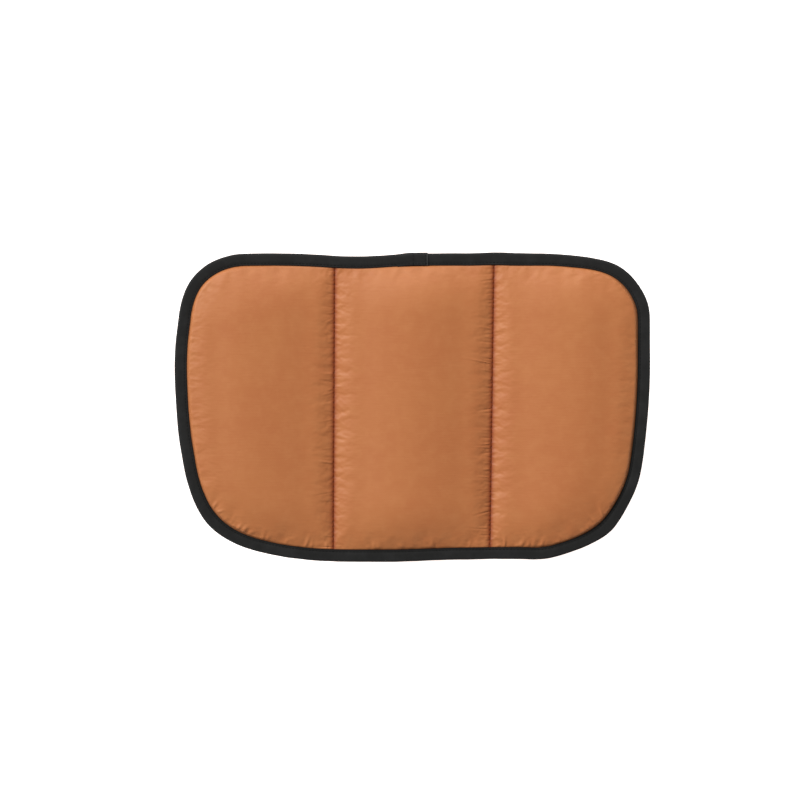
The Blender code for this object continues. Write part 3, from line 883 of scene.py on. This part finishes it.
def lay(mesh, points, sharp_from):
    """Lifts points drawn about the seams' plane to their height, and closes the mesh."""
    points[:, 2] += SEAM_Z
    write_points(mesh, wander(points))
    close_up(mesh, sharp_from)


def sew(name, lines, tree, finish, pitch, radius):
    """One piece, with a stitch at every pitch along these lines."""
    piece = line_object(name, lines)
    mesh = run_tree(piece, tree, {"Pitch": pitch, "Gap": settings("stitches").gap, "Radius": radius,
                                  "Finish": finish})
    lay(mesh, read_points(mesh), sharp_from=180)
    return piece


def wing_line(side, inset):
    """The line round an outer panel at this inset, clockwise seen from above."""
    points, inward = wing_outline(TAPE_SPACING)
    line = points + inset * inward
    return line if side > 0 else (line * (-1, 1))[::-1]


def long_line(end, inset, first_x=-SEAM_X, last_x=SEAM_X, spacing=TAPE_SPACING):
    """The line along the centre panel's rear or front edge, clockwise seen from above."""
    points, inward = straight(end * first_x, end * last_x, end, spacing)
    return points + inset * inward


# Operators


class CUSHION_OT_pads(bpy.types.Operator):
    """Stuffs the three channels and lets their cloth settle"""

    bl_idname = "cushion.pads"
    bl_label = "Stuffed Channels"

    def execute(self, context):
        finish = cotton_finish()
        for place, side in PLACES:
            add_pad(place, side, finish)
        return {"FINISHED"}


class CUSHION_OT_binding(bpy.types.Operator):
    """Folds the tape round the pad's edge and laps its end over its start"""

    bl_idname = "cushion.binding"
    bl_label = "Folded Binding"

    def execute(self, context):
        own = settings("binding")
        finish, tree = tape_finish(), tape_tree()
        plain = loop_object("tape_section", tape_section(own.thickness, TAPE_HALF, TAPE_COVER, own.fold))
        proud = LAP_HIGH.y - HALF_DEPTH
        lapped = loop_object("lap_section", tape_section(
            own.thickness, LAP_HALF, TAPE_COVER + proud, own.fold + proud))
        runs = [
            ("binding_tape_left", "left", "binding_left", plain, wing_line(-1, 0)),
            ("binding_tape_rear", "centre", "binding_rear", plain, long_line(1, 0)),
            ("binding_tape_right", "right", "binding_right", plain, wing_line(1, 0)),
            ("binding_tape_front", "centre", "binding_front", plain, long_line(-1, 0)),
            ("binding_tape_lap", "centre", "binding_lap", lapped,
             long_line(1, -proud, LAP_LOW.x, LAP_HIGH.x, LAP_SPACING)),
        ]
        for name, place, node, section, line in runs:
            piece = line_object(name, [at_height(line, 0.0)])
            mesh = run_tree(piece, tree, {"Section": section, "Finish": finish, "Wander": own.wander,
                                          "Wander Length": own.wander_length, "Seed": 3.0})
            points = read_points(mesh)
            x, y, z = points.T
            inset = inset_of(x, y)
            # Painted shade along the tape's sewn inner edge, and a painted highlight along its round fold
            mark(mesh, tuck=fading(TAPE_COVER - inset, TAPE_EDGE_SHADE_WIDTH), fold=fading(inset, FOLD_HIGHLIGHT_WIDTH),
                 cut=(section is lapped) * fading(LAP_HIGH.x - x, FRAY))
            if section is lapped:
                # The tape climbs onto its own start, and its cut end stops short
                climb = smooth((x - LAP_LOW.x) / LAP_CLIMB)
                y -= (1 - climb) * (proud - CLOSE)
                z *= 1 - (1 - climb) * (1 - (TAPE_HALF + CLOSE) / LAP_HALF)
            lay(mesh, points, sharp_from=50)
            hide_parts(node)
            attach(piece, place)
        for section in (plain, lapped):
            bpy.data.objects.remove(section)
        return {"FINISHED"}


class CUSHION_OT_seam_stitches(bpy.types.Operator):
    """Sews the two seams between the channels, on both faces"""

    bl_idname = "cushion.seam_stitches"
    bl_label = "Seam Stitches"

    def execute(self, context):
        own = settings("stitches")
        count = math.floor((HALF_DEPTH - TAPE_COVER) / own.pitch - 0.5)
        y = (count + 0.5) * own.pitch
        height = own.seam_radius * 0.9
        lines = [[(side * SEAM_X, end_y, face * height) for end_y in (-y, y)]
                 for side in (-1, 1) for face in (1, -1)]
        piece = sew("seam_stitches", lines, stitch_tree(), thread_finish("rust_spun_thread", own.seam_thread),
                    own.pitch, own.seam_radius)
        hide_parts(*[f"seam_thread_{face}_{place}" for face in ("top", "bottom")
                             for place in ("left", "right")])
        attach(piece, "centre")
        return {"FINISHED"}


class CUSHION_OT_edge_stitches(bpy.types.Operator):
    """Sews the tape down along its inner edge, on both faces, and across the lap"""

    bl_idname = "cushion.edge_stitches"
    bl_label = "Edge Stitches"

    def execute(self, context):
        own, tape = settings("stitches"), settings("binding")
        height = TAPE_HALF - tape.dip + 0.5 * own.edge_radius
        lap_rise = LAP_HALF - TAPE_HALF
        finish, tree = thread_finish("black_spun_thread", own.edge_thread), stitch_tree()
        for place, side in PLACES:
            lines = []
            for face in (1, -1):
                if side:
                    lines.append(at_height(wing_line(side, tape.stitch_inset), face * height))
                    continue
                for end in (1, -1):
                    line = long_line(end, tape.stitch_inset, spacing=0.001)
                    over = smooth((line[:, 0] - LAP_LOW.x) / LAP_CLIMB) * (line[:, 0] < LAP_HIGH.x) * (end > 0)
                    lines.append(at_height(line, face * (height + lap_rise * over)))
                for back in LAP_ROWS:
                    x = LAP_HIGH.x - back
                    line = np.array([(x, HALF_DEPTH - tape.stitch_inset), (x, HALF_DEPTH - tape.fold)])
                    lines.append(at_height(line, face * (LAP_HALF + 0.0002)))
            piece = sew(f"edge_stitches_{place}", lines, tree, finish, own.edge_pitch, own.edge_radius)
            runs = (place,) if side else ("rear", "front")
            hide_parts(*[f"edge_thread_{face}_{run}" for face in ("top", "bottom") for run in runs])
            attach(piece, place)
        return {"FINISHED"}


class CUSHION_OT_stage(bpy.types.Operator):
    """Lays the floor and sets the camera and the soft studio light"""

    bl_idname = "cushion.stage"
    bl_label = "Stage"

    def execute(self, context):
        own = settings("stage")
        scene = context.scene
        half, down = 4.0, -own.floor_drop
        corners = [(x * half, y * half, down) for x, y in ((-1, -1), (1, -1), (1, 1), (-1, 1))]
        floor = mesh_object("studio_floor", corners, [(0, 1, 2, 3)])
        made, tree, shader = new_finish("white_studio_floor", roughness=0.9, sheen=0.0)
        where = add_node(tree, "ShaderNodeTexCoord").outputs["Object"]
        cloudy = add_node(tree, "ShaderNodeTexNoise", {"Vector": where, "Scale": 3.0}).outputs[0]
        tint = layered(tree, own.floor, ((cloudy, 0.0, 1.0, 1.0, linear("#F7F7F6")),))
        tree.links.new(tint, shader.inputs["Base Color"])
        shader.inputs["Emission Color"].default_value = own.floor
        shader.inputs["Emission Strength"].default_value = own.floor_glow
        floor.data.materials.append(made)
        camera = bpy.data.cameras.new("camera")
        camera.lens = own.lens
        away = own.frame_width * own.lens / camera.sensor_width
        scene.camera = new_object("camera", camera)
        scene.camera.location = (own.aim_x, own.aim_y, away)
        sun = bpy.data.lights.new("key_light", "SUN")
        sun.energy, sun.angle = own.sun, 0.35
        new_object("key_light", sun).rotation_euler = (math.radians(-28.6), math.radians(-43.6), 0)
        panel = bpy.data.lights.new("light_panel", "AREA")
        panel.energy, panel.size = own.panel, 0.8
        hung = new_object("light_panel", panel)
        hung.location, hung.rotation_euler = (0, 1.0, 0.75), (math.radians(-53), 0, 0)
        world = bpy.data.worlds.new("studio")
        world.use_nodes = True
        sky = world.node_tree.nodes["Background"]
        sky.inputs["Color"].default_value = (1, 1, 1, 1)
        sky.inputs["Strength"].default_value = own.sky
        scene.world = world
        scene.view_settings.view_transform = "Standard"
        return {"FINISHED"}


OPERATORS = (CUSHION_OT_pads, CUSHION_OT_binding, CUSHION_OT_seam_stitches, CUSHION_OT_edge_stitches,
             CUSHION_OT_stage)


class CUSHION_PT_panel(bpy.types.Panel):
    """Lists the pad's pieces and their sizes"""

    bl_label = "Cushion"
    bl_space_type = "VIEW_3D"
    bl_region_type = "UI"
    bl_category = "Cushion"

    def draw(self, context):
        for operator in OPERATORS:
            self.layout.operator(operator.bl_idname)
        for name, group in GROUPS.items():
            box = self.layout.box()
            box.label(text=name.capitalize())
            for setting in group.__annotations__:
                box.prop(settings(name), setting)


CLASSES = (*GROUPS.values(), *OPERATORS, CUSHION_PT_panel)


def register():
    for each in CLASSES:
        bpy.utils.register_class(each)
    for name, group in GROUPS.items():
        setattr(bpy.types.Scene, f"cushion_{name}", PointerProperty(type=group))


def unregister():
    for name in GROUPS:
        delattr(bpy.types.Scene, f"cushion_{name}")
    for each in reversed(CLASSES):
        bpy.utils.unregister_class(each)


def main():
    register()
    for operator in OPERATORS:
        group, name = operator.bl_idname.split(".")
        getattr(getattr(bpy.ops, group), name)()


if __name__ == "__main__":
    main()
